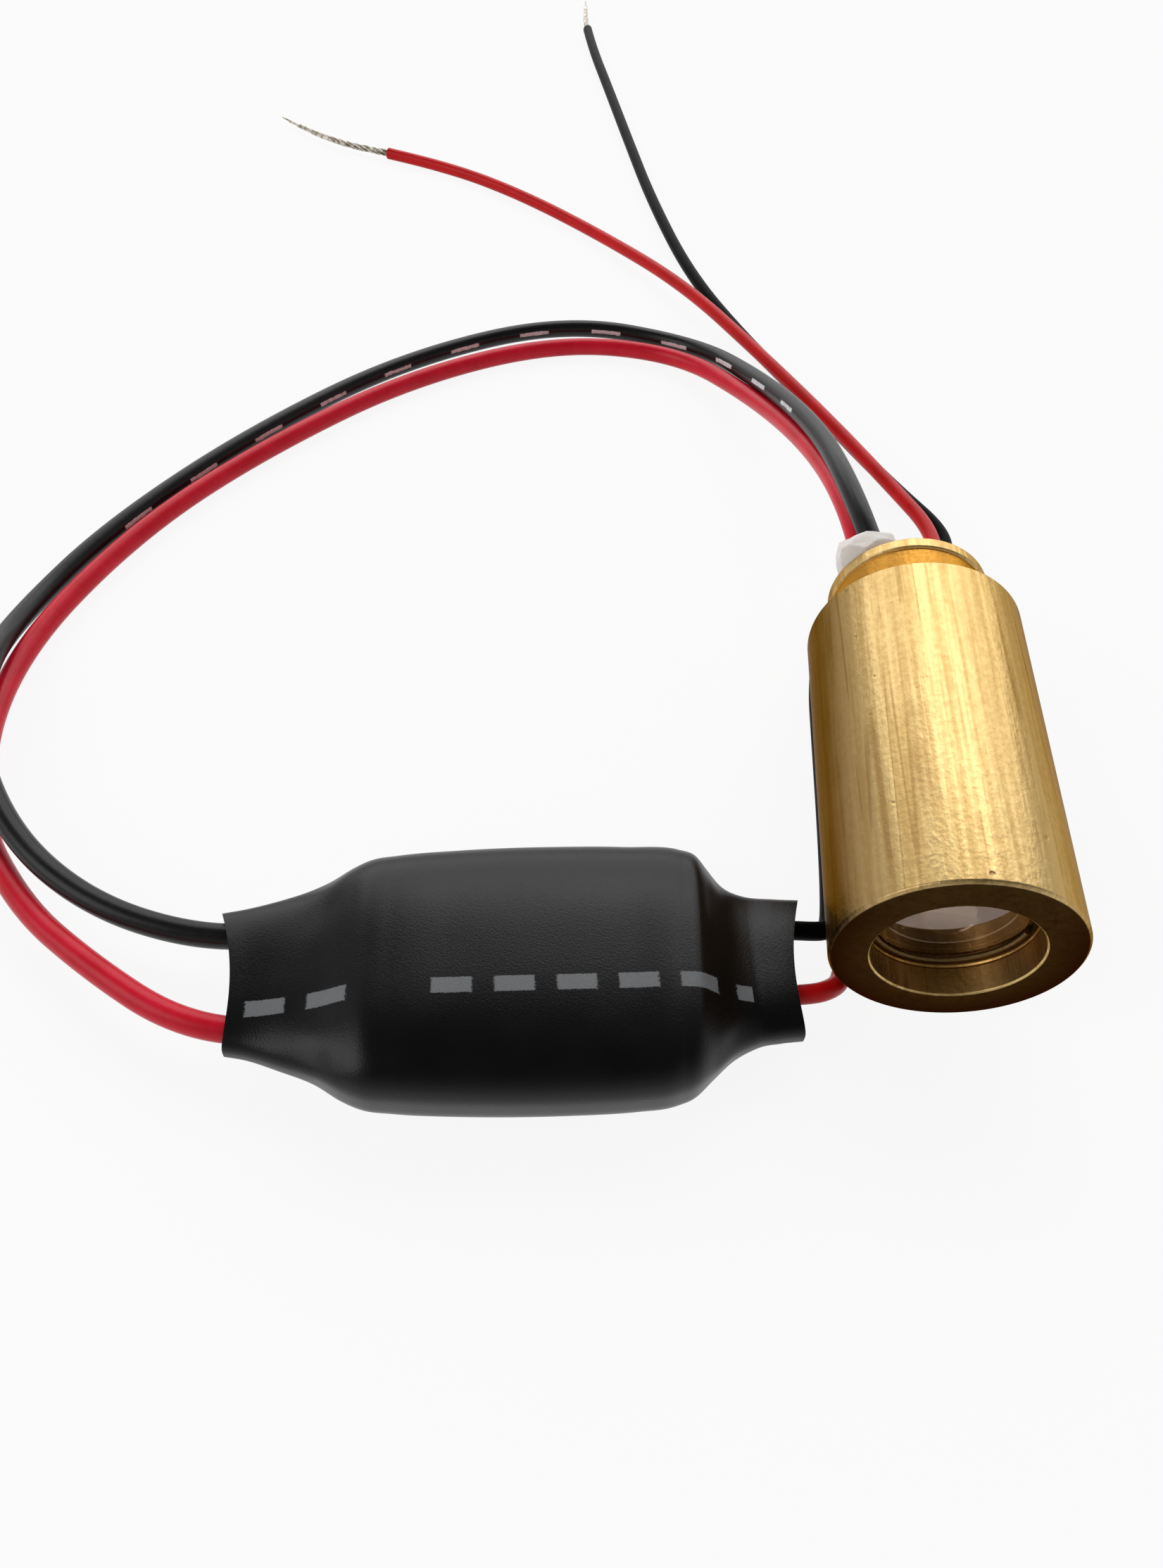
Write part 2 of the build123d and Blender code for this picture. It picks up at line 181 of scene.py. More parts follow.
class Finish:
    # nodes of a new material, or of a tree that is there already
    def __init__(self, name, tree=None):
        if not tree:
            self.material = bpy.data.materials.new(name)
            self.material.use_nodes = True
            tree = self.material.node_tree
        self.tree = tree
        self.tree.nodes.clear()

    # any node: its kind, its settings, then its sockets by name or number, and the outlets that are wanted
    def node(self, kind, settings=None, sockets=None, out=0):
        node = self.tree.nodes.new("ShaderNode" + kind)
        for key, value in (settings or {}).items():
            setattr(node, key, value)
        for key, value in (sockets or {}).items():
            plug(node.inputs[key], value)
        if isinstance(out, list):
            return [Wire(node.outputs[o]) for o in out]
        return Wire(node.outputs[out]) if node.outputs else None

    def where(self, scale=(1, 1, 1)):
        spot = self.node("TexCoord", out="Object")
        return self.node("Mapping", {"vector_type": "POINT"}, {"Vector": spot, "Scale": scale})

    def noise(self, spot, scale, detail=2.0, roughness=0.5):
        return self.node("TexNoise", None, {"Vector": spot, "Scale": scale, "Detail": detail,
                                            "Roughness": roughness}, "Fac")

    def attribute(self, name):
        return self.node("Attribute", {"attribute_name": name}, None, "Fac")

    def step(self, value, low, high):
        return self.node("MapRange", {"interpolation_type": "SMOOTHSTEP"},
                         {0: value, 1: low, 2: high, 3: 0.0, 4: 1.0})

    def mix(self, mask, first, second):
        return self.node("Mix", {"data_type": "RGBA"}, {0: mask, 6: first, 7: second}, 2)

    def bump(self, height, distance, below=None):
        sockets = {"Height": height, "Distance": distance, "Strength": 1.0}
        if below:
            sockets["Normal"] = below
        return self.node("Bump", None, sockets, "Normal")

    def surface(self, sockets):
        shader = self.node("BsdfPrincipled", None, sockets)
        self.node("OutputMaterial", None, {"Surface": shader})
        return self.material


low, high = (np.array(corner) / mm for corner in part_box("barrel"))
head = {  # mm, from the barrel's solid
    "axisX": (low[0] + high[0]) / 2,
    "axisZ": (low[2] + high[2]) / 2,
    "frontY": low[1],
    "radius": (high[0] - low[0]) / 2,
    "length": high[1] - low[1],
}

# Marks the brass reads. The first two also carry painted shade: the barrel's dark front face, and the barrel
# and holder darkening towards the table.
wearMarks = ("patina", "tarnish", "neck")
brassLook = {
    "bright": (0.70, 0.50, 0.22),
    "deep": (0.56, 0.37, 0.14),
    "line": (0.30, 0.16, 0.05),
    "neck": (0.56, 0.27, 0.048),
    # the tarnish and patina colours also paint shade on the barrel and holder
    "tarnish": (0.115, 0.060, 0.026),
    "patina": (0.014, 0.0065, 0.0032),
    "grazing": (0.56, 0.42, 0.28),
    "roughness": 0.33,
    "wear": (0.37, 0.61),  # from deep to bright
    "bandHeight": 0.030, "rippleHeight": 0.022, "toolHeight": 0.004, "pitDepth": 0.015,
}


# Turned brass: drawn bands and thin dark lines run along the axis over a fine mottled ripple, tool lines
# run round it, with a few pits. Its attributes say where it is tarnished or browned, where painted shade
# darkens it, and where it is the orange neck.
def brassFinish():
    f = Finish("turnedBrass")
    band = f.noise(f.where(scale=(1, 0.016, 1)), 2200, 2, 0.5)
    fineBand = f.noise(f.where(scale=(1, 0.03, 1)), 5000, 2, 0.5)
    ripple = f.noise(f.where(scale=(1, 0.7, 1)), 3800, 2, 0.55)
    tool = f.noise(f.where(scale=(0.04, 1, 0.04)), 5200, 3, 0.6)
    cloud = f.noise(f.where(), 300, 3, 0.55)
    pit = f.node("TexVoronoi", {"feature": "F1"}, {"Vector": f.where(), "Scale": 900.0}, "Distance")
    pits = 1 - f.step(pit + f.noise(f.where(), 500, 1) * 0.6, 0.25, 0.36)
    line = 1 - f.step(abs(f.noise(f.where(scale=(1, 0.015, 1)), 800, 1) - 0.5), 0.006, 0.030)
    line = line * f.step(f.noise(f.where(scale=(1, 0.3, 1)), 500, 2), 0.42, 0.60)
    worn = f.step(band * 0.45 + fineBand * 0.25 + cloud * 0.1 + ripple * 0.2, *brassLook["wear"])
    patina, tarnish, neck = (f.attribute(key) for key in wearMarks)
    tarnish = tarnish * (0.72 + band * 0.35 + cloud * 0.2)
    colour = f.mix(worn, brassLook["deep"], brassLook["bright"])
    colour = f.mix(line * 0.5 + pits * 0.4, colour, brassLook["line"])
    # The tarnish and patina masks also carry painted shade: the barrel's front face, and the barrel and holder
    # darkening towards the table.
    colour = f.mix(tarnish, colour, brassLook["tarnish"])
    colour = f.mix(neck, colour, brassLook["neck"])
    colour = f.mix(patina, colour, brassLook["patina"])
    ridges = f.bump(band * 0.7 + fineBand * 0.3, brassLook["bandHeight"] * mm)
    ridges = f.bump(ripple, brassLook["rippleHeight"] * mm, ridges)
    ridges = f.bump(tool, brassLook["toolHeight"] * mm, ridges)
    ridges = f.bump(1 - pits, brassLook["pitDepth"] * mm, ridges)
    return f.surface({"Base Color": colour, "Metallic": 1.0,
                      "Roughness": brassLook["roughness"] + (1 - worn) * 0.10 + patina * 0.15,
                      "Specular Tint": brassLook["grazing"],
                      "Normal": ridges})


brass = brassFinish()


# Places of a mesh's vertices, one row each.
def vertexSpots(mesh):
    spots = np.empty(len(mesh.vertices) * 3, np.float32)
    mesh.vertices.foreach_get("co", spots)
    return spots.reshape(-1, 3)


# Keeps one number for each vertex, for a finish to read.
def storeMarks(mesh, name, values):
    mesh.attributes.new(name, "FLOAT", "POINT").data.foreach_set("value", values.astype(np.float32))


# Marks vertices with the numbers from 0 to 1 that the brass reads, each worked out from radius r, station y
# and height z.
def mark(piece, **formulas):
    spots = vertexSpots(piece.data) / mm
    radius = np.hypot(spots[:, 0] - head["axisX"], spots[:, 2] - head["axisZ"])
    for name in wearMarks:
        formula = formulas.get(name, lambda r, y, z: 0)
        values = np.broadcast_to(formula(radius, spots[:, 1] - head["frontY"], spots[:, 2]), radius.shape)
        storeMarks(piece.data, name, values)


# Gives a piece its material and its body, and hides the solids that it stands for; its slot is not used.
def finishPiece(piece, material, slot, *nodes):
    piece.data.materials.append(material)
    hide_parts(*nodes)
    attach(piece, "root")
    return piece


barrelShape = {
    "edge": 0.15, "frontBore": 4.02, "boreEdge": 0.10, "lensSeat": 4.1, "throat": 3.3,
    "rearBore": 4.26, "rearDepth": 12.0, "grooveStation": 1.5, "grooveDepth": 0.06, "grooveWidth": 0.2,
    "edgeSoft": 0.06, "boreSoft": 0.05, "grooveSoft": 0.03, "mouthSoft": 0.02,
    # The front face's darkening and the darkening towards the table are painted shade.
    "frontFaceShade": 0.96, "seatBrown": 0.7, "underShade": 0.9, "boreTarnish": 0.05, "boreOrange": 0.45,
}


# Barrel: a turned tube with a chamfered edge, a recess with a fine groove in front, a throat and a rear bore.
# Its front face is darkened as painted shade, its lens seat is browned, and painted shade darkens its outside
# towards the table.
def makeBarrel(s):
    length, radius, bore = head["length"], head["radius"], s["frontBore"]
    groove, step = s["grooveStation"], length - s["rearDepth"]
    edge, inner, fine, mouth = s["edgeSoft"], s["boreSoft"], s["grooveSoft"], s["mouthSoft"]
    outline = softOutline([
        (bore + s["boreEdge"], 0, mouth), (radius - s["edge"], 0, edge), (radius, s["edge"], edge),
        (radius, length - s["edge"], edge), (radius - s["edge"], length, edge), (s["rearBore"], length, inner),
        (s["rearBore"], step, inner), (s["throat"], step, inner),
        (s["throat"], s["lensSeat"], inner), (bore, s["lensSeat"], inner),
        (bore, groove + s["grooveWidth"], fine), (bore + s["grooveDepth"], groove + s["grooveWidth"] / 2, fine),
        (bore, groove, fine), (bore, s["boreEdge"], mouth),
    ])
    piece = gridMesh("barrelBody", [(turnedGrid(outline), True, True)], 60)
    # The front face's dark brown and the darkening of the outside towards the table are painted shade; the lens
    # seat is browned.
    mark(piece,
         patina=lambda r, y, z: (s["frontFaceShade"] * ease(-y, -0.03, -0.005)
                                 + s["seatBrown"] * (r < 4.3) * ease(y, 1.7, 1.9)),
         tarnish=lambda r, y, z: np.where(r > 5, s["underShade"] * ease(-z, -11.2, -7.2), s["boreTarnish"]),
         neck=lambda r, y, z: s["boreOrange"] * (r < 4.2) * (y > 0.2))
    return finishPiece(piece, brass, "brass", "barrel")


makeBarrel(barrelShape)
print("barrel turned")

ringShape = {"station": 1.8, "thickness": 0.8, "outer": 3.97, "hole": 3.7, "holeEdge": 0.1,
             "slotWidth": 1.0, "slotDepth": 0.4, "slotEdge": 0.04, "frontSoft": 0.03, "rearSoft": 0.05,
             "brown": 0.4, "tarnish": 0.7}


# Ring with two spanner slots: where the height above the slot's middle line is under half its width, the
# front face steps back by the slot's depth.
def makeRing(s):
    front, rear = s["station"], s["station"] + s["thickness"]
    fine, soft = s["frontSoft"], s["rearSoft"]
    outline = softOutline([
        (s["hole"], front + s["holeEdge"], fine), (s["hole"] + s["holeEdge"], front, fine),
        (s["outer"], front, fine), (s["outer"], rear, soft), (s["hole"], rear, soft),
    ])
    grid = turnedGrid(outline, 480)
    beside = np.abs(grid[..., 2] - head["axisZ"])
    back = 1 - ease(beside, s["slotWidth"] / 2 - s["slotEdge"], s["slotWidth"] / 2 + s["slotEdge"])
    station = grid[..., 1] - head["frontY"]
    floor = np.maximum(station, front + s["slotDepth"])
    grid[..., 1] += back * (floor - station)
    piece = gridMesh("lensRing", [(grid, True, True)], 40)
    mark(piece, patina=lambda r, y, z: s["brown"], tarnish=lambda r, y, z: s["tarnish"])
    return finishPiece(piece, brass, "brass", "lens_retaining_ring")


makeRing(ringShape)

lensShape = {"front": 1.95, "boss": 3.66, "bossEdge": 0.05, "seat": 2.6, "edge": 1.5, "outer": 3.96,
             "chamfer": 0.08, "bulge": 3.24, "rise": 1.09}


# Lens: a flat front on a low boss inside the ring, a cylinder edge, and a rear bulge whose station is
# rear + rise (1 - (r / bulge)^2).
def makeLens(s):
    rear, cut = s["seat"] + s["edge"], s["chamfer"]
    flat = np.linspace(0, s["boss"] - s["bossEdge"], 12)
    bulge = s["bulge"] * np.cos(np.linspace(0, math.pi / 2, 40))
    outline = np.concatenate([
        np.stack([flat, np.full_like(flat, s["front"])], 1),
        [[s["boss"], s["front"] + s["bossEdge"]], [s["boss"], s["seat"]], [s["outer"] - cut, s["seat"]],
         [s["outer"], s["seat"] + cut], [s["outer"], rear - cut], [s["outer"] - cut, rear]],
        np.stack([bulge, rear + s["rise"] * (1 - (bulge / s["bulge"]) ** 2)], 1),
    ])
    return gridMesh("lensGlass", [(turnedGrid(outline, 128), False, True)], 40)


glassLook = {"dim": (0.86, 0.93, 0.95), "clear": (0.94, 0.97, 0.98), "roughness": 0.02, "haze": 0.03,
             "ior": 1.9, "tint": (1.0, 0.50, 0.22), "coat": 0.3, "coatRoughness": 0.04, "coatIor": 2.1}


# Coated glass: faintly hazy, with a warm reflection.
def glassFinish():
    f, look = Finish("lensGlassFinish"), glassLook
    haze = f.noise(f.where(), 900, 3)
    return f.surface({"Base Color": f.mix(haze, look["dim"], look["clear"]),
                      "Roughness": look["roughness"] + haze * look["haze"],
                      "Transmission Weight": 1.0, "IOR": look["ior"],
                      "Specular IOR Level": 1.0, "Specular Tint": look["tint"],
                      "Coat Weight": look["coat"], "Coat Roughness": look["coatRoughness"],
                      "Coat IOR": look["coatIor"]})


glass = glassFinish()
finishPiece(makeLens(lensShape), glass, "lens_glass", "collimating_lens")
print("lens and ring set")

holderShape = {
    "front": 11.0, "neckFront": 21.2, "neckRear": 23.77, "flangeRear": 24.54,
    "shank": 4.21, "flare": 4.47, "flange": 4.63, "flangeRise": 0.1, "edge": 0.15,
    "capBore": 2.2, "stemBore": 2.85, "stemSeat": 13.2, "wideBore": 3.71, "wideFront": 15.6,
    "soft": 0.05, "neckSoft": 0.1, "flareSoft": 0.03, "flangeSoft": 0.06,
    # The darkening towards the table is painted shade.
    "insideBrown": 0.35, "underShade": 0.5, "insideStation": (20.9, 21.1),
}


# Holder: a turned insert with a flaring neck, a rear flange and three bores. What stands inside the barrel
# is browned, the neck is orange, and painted shade darkens its lower side.
def makeHolder(s):
    soft, (inside, outside) = s["soft"], s["insideStation"]
    outline = softOutline([
        (s["capBore"], s["front"], soft), (s["shank"] - s["edge"], s["front"], soft),
        (s["shank"], s["front"] + s["edge"], soft), (s["shank"], s["neckFront"], s["neckSoft"]),
        (s["flare"], s["neckRear"], s["flareSoft"]),
        (s["flange"], s["neckRear"] + s["flangeRise"], s["flangeSoft"]),
        (s["flange"], s["flangeRear"], s["flangeSoft"]),
        (s["wideBore"], s["flangeRear"], soft), (s["wideBore"], s["wideFront"], soft),
        (s["stemBore"], s["wideFront"], soft), (s["stemBore"], s["stemSeat"], soft),
        (s["capBore"], s["stemSeat"], soft),
    ])
    piece = gridMesh("diodeHolder", [(turnedGrid(outline), True, True)], 60)
    # The darkening towards the table is painted shade.
    mark(piece, patina=lambda r, y, z: s["insideBrown"] * ease(-y, -outside, -inside),
         tarnish=lambda r, y, z: s["underShade"] * ease(-z, -8.5, -5),
         neck=lambda r, y, z: ease(-r, -4.56, -4.48) * ease(y, inside, outside))
    return finishPiece(piece, brass, "brass", "diode_holder")


makeHolder(holderShape)
print("diode holder turned")

glueShape = {
    "offset": (-2.9, 24.54, 2.2), "stand": 1.0, "half": (1.62, 1.3, 1.45), "squareness": 4.0,
    "facets": 9, "facetLean": (0, 0.5, 0.2), "facetReach": (0.86, 1.05), "facetCut": 0.85, "seed": 11,
    "lumps": ((0.10, 0.9, 4), (0.05, 0.3, 9)),  # height, size and seed
    "plugRadius": 3.69, "plugDepth": 1.5, "plugRings": 14, "dome": 0.25,
    "swell": 0.75, "swellAt": (-1.7, 2.1), "swellWidth": 1.3,
}


# Glue: a squarish blob, each direction stretched to |x|^n + |y|^n + |z|^n = 1, then cut back softly to a
# few slanting planes, with its base sunk into the flange; and a plug in the bore, whose hollow rear swells
# by swell exp(-(distance / width)^2) round the leads.
def makeGlue(s):
    draw = np.random.default_rng(s["seed"])
    u = np.linspace(0, math.pi, 61)[:, None]
    v = np.linspace(0, 2 * math.pi, 120, endpoint=False)[None, :]
    way = np.stack([np.sin(u) * np.cos(v), np.cos(u) + 0 * v, np.sin(u) * np.sin(v)], -1)
    n = s["squareness"]
    unit = way / (np.abs(way) ** n).sum(-1, keepdims=True) ** (1 / n)
    for _ in range(s["facets"]):
        face = draw.normal(size=3) + np.array(s["facetLean"])
        face /= np.linalg.norm(face)
        over = np.maximum(unit @ face - draw.uniform(*s["facetReach"]), 0)
        unit = unit - s["facetCut"] * over[..., None] * face
    beside, station, above = s["offset"]
    middle = np.array([head["axisX"] + beside, head["frontY"] + station + s["stand"], head["axisZ"] + above])
    blob = middle + unit * np.array(s["half"])
    blob += way * sum(height * lumps(blob, size, seed) for height, size, seed in s["lumps"])[..., None]
    rings, radius = s["plugRings"], s["plugRadius"]
    out = np.linspace(0, radius, rings)
    rear = np.stack([out, station - s["dome"] * (1 - (out / radius) ** 2)], 1)
    front = np.stack([np.linspace(radius, 0, rings), np.full(rings, station - s["plugDepth"])], 1)
    plugGrid = turnedGrid(np.concatenate([rear, front]), 96)
    swelling = plugGrid[:rings]
    away = np.hypot(swelling[..., 0] - head["axisX"] - s["swellAt"][0],
                    swelling[..., 2] - head["axisZ"] - s["swellAt"][1])
    swelling[..., 1] += s["swell"] * np.exp(-(away / s["swellWidth"]) ** 2)
    return gridMesh("glueBead", [(blob, False, True), (plugGrid, False, True)], 40)


glueLook = {"dull": (0.88, 0.79, 0.72), "white": (0.96, 0.92, 0.87), "roughness": 0.38, "lumpHeight": 0.12,
            "glow": 0.25, "glowRadius": (1.0, 1.0, 0.9), "glowScale": 0.8}


# White glue: cloudy and lumpy, and a little light passes through it.
def glueFinish():
    f, look = Finish("whiteGlue"), glueLook
    cloud = f.noise(f.where(), 700, 4, 0.6)
    dust = f.noise(f.where(), 5200, 2)
    colour = f.mix(f.step(cloud, 0.35, 0.65), look["dull"], look["white"])
    return f.surface({"Base Color": colour, "Roughness": look["roughness"] + cloud * 0.2,
                      "Subsurface Weight": look["glow"], "Subsurface Radius": look["glowRadius"],
                      "Subsurface Scale": look["glowScale"] * mm,
                      "Normal": f.bump(cloud + dust * 0.2, look["lumpHeight"] * mm)})


finishPiece(makeGlue(glueShape), glueFinish(), "white_glue", "glue_bead")
print("glue set")

sleeveShape = {
    "place": (-5.9, -10.5), "yaw": math.radians(7.6), "wall": 0.4, "neckBase": 0.95, "heights": (1.1, 2.5),
    "stations": (-14.3, -13.2, -11.5, -9.6, -8.4, -7.4, -6.0, -3.0, 2.0,
                 5.4, 7.8, 8.6, 9.4, 10.3, 11.4, 12.8, 14.0),
    "halfWidths": (3.74, 3.95, 4.45, 5.18, 5.84, 6.22, 6.42, 6.66, 6.8,
                   6.72, 6.48, 6.18, 5.48, 4.65, 4.12, 3.92, 3.84),
    "halfHeights": (1.1, 1.12, 1.28, 1.68, 2.08, 2.36, 2.47, 2.5, 2.5,
                    2.5, 2.5, 2.4, 1.94, 1.45, 1.18, 1.12, 1.1),
    "rows": ((-14.3, -6.1, 80), (-6.0, 7.0, 50), (7.1, 14.0, 80)),  # from, to and count, closer at the necks
    "columns": 180,
    "square": 3.0, "squareUnder": (0.7, 4.5),  # n of the oval, and what the outer and inner wall add below
    "frontBulge": 0.15,
    "endFrom": 10.5, "endHollow": 0.5, "endSlant": 0.46,
    "shoulderAt": 8.2, "shoulderSpread": 2.2, "shoulderSlant": 0.65,
    "creaseDepth": 0.03, "creaseCount": 9, "creaseTwist": 0.6, "creaseSpread": 0.25,
}


# Sleeve: across each place along it the outline is a squarish oval, |y/a|^n + |z/b|^n = 1, whose half
# width a and half height b swell from neck to body. The outer wall runs one way and the inner wall back.
# Its lower half is squarer, round the board. Both ends are hollowed and slanted, the right shoulder is
# slanted too, and faint creases run along the shoulders.
def makeSleeve(s):
    neck, body = s["heights"]
    endWidth, fullWidth = s["halfWidths"][0], max(s["halfWidths"])

    def wallGrid(along, inset):
        a = through(along, s["stations"], s["halfWidths"])[:, None]
        b = through(along, s["stations"], s["halfHeights"])[:, None]
        along = along[:, None]
        v = np.linspace(0, 2 * math.pi, s["columns"], endpoint=False)[None, :]
        rise = np.clip((b - neck) / (body - neck), 0, 1)
        n = s["square"] + (np.sin(v) < 0) * rise * s["squareUnder"][inset > 0]
        onShoulder = np.exp(-((rise - 0.5) / s["creaseSpread"]) ** 2)
        crease = s["creaseDepth"] * (np.sin(s["creaseCount"] * v + s["creaseTwist"] * along) - 1) * onShoulder
        y = (a - inset + crease) * np.sign(np.cos(v)) * np.abs(np.cos(v)) ** (2 / n)
        y = y - s["frontBulge"] * rise * (1 - y / a)
        up = (b - inset + crease) * np.sign(np.sin(v)) * np.abs(np.sin(v)) ** (2 / n)
        z = s["neckBase"] * (1 - rise) + b + up
        toEnd = ease(-along, s["endFrom"], -s["stations"][0]) - ease(along, s["endFrom"], s["stations"][-1])
        x = along + toEnd * (s["endHollow"] * (1 - (y / endWidth) ** 2) - s["endSlant"] * y / endWidth)
        nearShoulder = np.exp(-((along - s["shoulderAt"]) / s["shoulderSpread"]) ** 2)
        x = x + s["shoulderSlant"] * y / fullWidth * nearShoulder
        return np.stack([x, y, z], -1)

    along = np.concatenate([np.linspace(*part) for part in s["rows"]])
    local = np.concatenate([wallGrid(along, 0), wallGrid(along, s["wall"])[::-1]])
    cosine, sine = math.cos(s["yaw"]), math.sin(s["yaw"])
    turn = np.array([[cosine, sine, 0], [-sine, cosine, 0], [0, 0, 1]])
    points = local @ turn + np.array([*s["place"], 0])
    return gridMesh("driverSleeve", [(points, True, True)], 50)


sleeveLook = {
    "black": (0.0022, 0.0022, 0.0024), "grey": (0.0040, 0.0040, 0.0043), "roughness": 0.24, "shine": 0.30,
    "skinHeight": 0.01,
    "bar": (0.20, 0.21, 0.22), "barRow": -2.0, "barHalf": 0.42, "barPitch": 2.9, "barShift": 0.62,
    "barShare": 0.68, "bodyBars": (-4.4, 11.1), "neckBars": (-13.2, -7.5), "barHeight": 2.5,
}


# Shrunk sleeve: satin black with a fine skin, and a broken pale stripe of plain bars along its top.
def sleeveFinish():
    f, s, look = Finish("shrunkSleeve"), sleeveShape, sleeveLook
    skin = f.noise(f.where(), 9000, 3, 0.6)
    cloud = f.noise(f.where(), 260, 3)
    spot = f.node("TexCoord", out="Object")
    centred = f.node("Mapping", {"vector_type": "TEXTURE"},
                     {"Vector": spot, "Location": (s["place"][0] * mm, s["place"][1] * mm, 0),
                      "Rotation": (0, 0, s["yaw"])})
    x, y, z = f.node("SeparateXYZ", None, {0: centred}, [0, 1, 2])
    x, y, z = x / mm, y / mm, z / mm
    phase = x.maths("FRACT", x / look["barPitch"] + look["barShift"])
    rough = (skin - 0.5) * 0.12
    inBar = 1 - f.step(abs(phase - 0.5) + rough, look["barShare"] / 2 - 0.04, look["barShare"] / 2)
    inRow = 1 - f.step(abs(y - look["barRow"]) + rough, look["barHalf"] - 0.06, look["barHalf"])
    onBody, onNeck = (f.step(x, start, start + 0.05) * (1 - f.step(x, end, end + 0.05))
                      for start, end in (look["bodyBars"], look["neckBars"]))
    bars = inBar * inRow * (onBody + onNeck) * f.step(z, look["barHeight"], look["barHeight"] + 0.1)
    colour = f.mix(f.step(cloud, 0.35, 0.7), look["black"], look["grey"])
    colour = f.mix(bars * (0.75 + skin * 0.3), colour, look["bar"])
    return f.surface({"Base Color": colour, "Roughness": look["roughness"] + cloud * 0.12 + bars * 0.1,
                      "Specular IOR Level": look["shine"], "Normal": f.bump(skin, look["skinHeight"] * mm)})


finishPiece(makeSleeve(sleeveShape), sleeveFinish(), "heat_shrink", "heat_shrink_sleeve")
print("sleeve shrunk")

# Routes of the leads, in mm from their hidden ends.
laserRedRoute = [
    (13.45, 7.8, 6.2), (12.1, 14.8, 6.93), (10.92, 20.6, 8.35), (9.52, 29.4, 6.2), (6.45, 40.6, 2.28),
    (0.75, 48.2, 0.65), (-9.05, 48.3, 0.65), (-19.85, 41.5, 0.65), (-28.75, 31.1, 0.65),
    (-35.15, 20.6, 0.65), (-38.85, 7.9, 0.65), (-36.45, -2.9, 0.8), (-31.6, -8.7, 1.3),
    (-26.7, -12.1, 1.95), (-21.6, -14.75, 2.05), (-16.85, -14.85, 2.1), (-12.97, -14.2, 2.05),
]
laserBlackRoute = [
    (15.6, 7.8, 6.15), (12.45, 14.8, 8.4), (10.78, 20.6, 9.66), (9.58, 29.6, 7.6), (6.95, 40.9, 3.5),
    (2.2, 49.7, 0.7), (-8.85, 51.5, 0.65), (-20.8, 43.9, 0.65), (-30.05, 32.5, 0.65),
    (-36.65, 21.0, 0.65), (-39.55, 11.9, 0.65), (-38.65, 5.7, 2.6), (-36.65, -0.4, 2.6),
    (-32.75, -5.5, 2.3), (-27.75, -8.8, 2.2), (-22.25, -10.1, 2.1), (-17.65, -9.5, 2.05),
    (-13.69, -8.95, 2.05),
]
supplyRedRoute = [
    (2.73, -10.86, 2.05), (5.45, -10.5, 2.1), (8.15, -10.1, 2.0), (9.45, -9.6, 1.75),
    (10.55, -8.2, 0.65), (11.0, -3.0, 0.5), (11.0, 4.0, 0.5), (10.75, 12.0, 0.5), (12.7, 16.6, 0.8),
    (17.0, 19.8, 1.7), (19.45, 26.0, 1.7), (15.9, 33.3, 1.4), (12.25, 39.9, 1.4), (7.25, 48.1, 1.4),
    (0.95, 57.9, 1.3), (-6.75, 66.8, 0.5), (-14.75, 73.2, 0.5), (-22.25, 77.4, 0.5),
    (-28.3, 79.1, 0.5),
]
supplyBlackRoute = [
    (2.23, -7.1, 2.05), (4.85, -6.75, 2.1), (7.45, -6.42, 1.98), (9.2, -6.25, 1.85), (9.7, -5.9, 1.65),
    (9.9, -3.6, 1.45), (9.97, 0.3, 1.4), (9.97, 5.8, 1.4), (10.0, 13.2, 1.2), (11.9, 21.2, 0.5),
    (18.0, 23.6, 0.5), (20.9, 27.6, 0.5), (16.52, 33.95, 0.5), (11.97, 42.0, 0.5), (6.33, 51.3, 0.5),
    (1.5, 61.2, 0.5), (-2.35, 74.4, 0.5), (-5.2, 86.8, 0.5), (-8.0, 99.2, 0.5), (-10.35, 109.4, 0.5),
    (-11.3, 114.8, 0.5),
]
strandsRedRoute = [(-28.3, 79.1, 0.5), (-32.65, 80.2, 0.45), (-36.65, 82.4, 0.42), (-40.15, 85.1, 0.42)]
strandsBlackRoute = [(-11.3, 114.8, 0.5), (-11.75, 117.8, 0.45), (-11.95, 121.0, 0.42), (-12.2, 124.0, 0.42)]


# Points along a route's smooth line, spaced evenly: Blender works out a NURBS curve without thickness,
# pulled by the points of the route.
def linePoints(route, spacing):
    curve = bpy.data.curves.new("guide", "CURVE")
    curve.dimensions = "3D"
    line = curve.splines.new("NURBS")
    line.points.add(len(route) - 1)
    line.points.foreach_set("co", np.column_stack([np.array(route), np.ones(len(route))]).ravel())
    line.order_u = 3
    line.use_endpoint_u = True
    line.resolution_u = 40
    guide = bpy.data.objects.new("guide", curve)
    bpy.context.collection.objects.link(guide)
    flat = bpy.data.meshes.new_from_object(guide)
    spots = vertexSpots(flat).astype(float)
    bpy.data.objects.remove(guide)
    bpy.data.meshes.remove(flat)
    run = np.concatenate([[0], np.cumsum(np.linalg.norm(np.diff(spots, axis=0), axis=1))])
    even = np.linspace(0, run[-1], int(run[-1] / spacing) + 1)
    return np.stack([np.interp(even, run, spots[:, k]) for k in range(3)], -1), even


# Directions across a line: to its left, and upwards.
def lineFrame(line):
    ahead = np.gradient(line, axis=0)
    ahead /= np.linalg.norm(ahead, axis=1, keepdims=True)
    left = np.cross([0, 0, 1.0], ahead)
    left /= np.linalg.norm(left, axis=1, keepdims=True)
    return left, np.cross(ahead, left)


leadShape = {"spacing": 0.25, "sides": 28, "uneven": 0.012, "unevenSize": 3.0, "rim": 0.9}


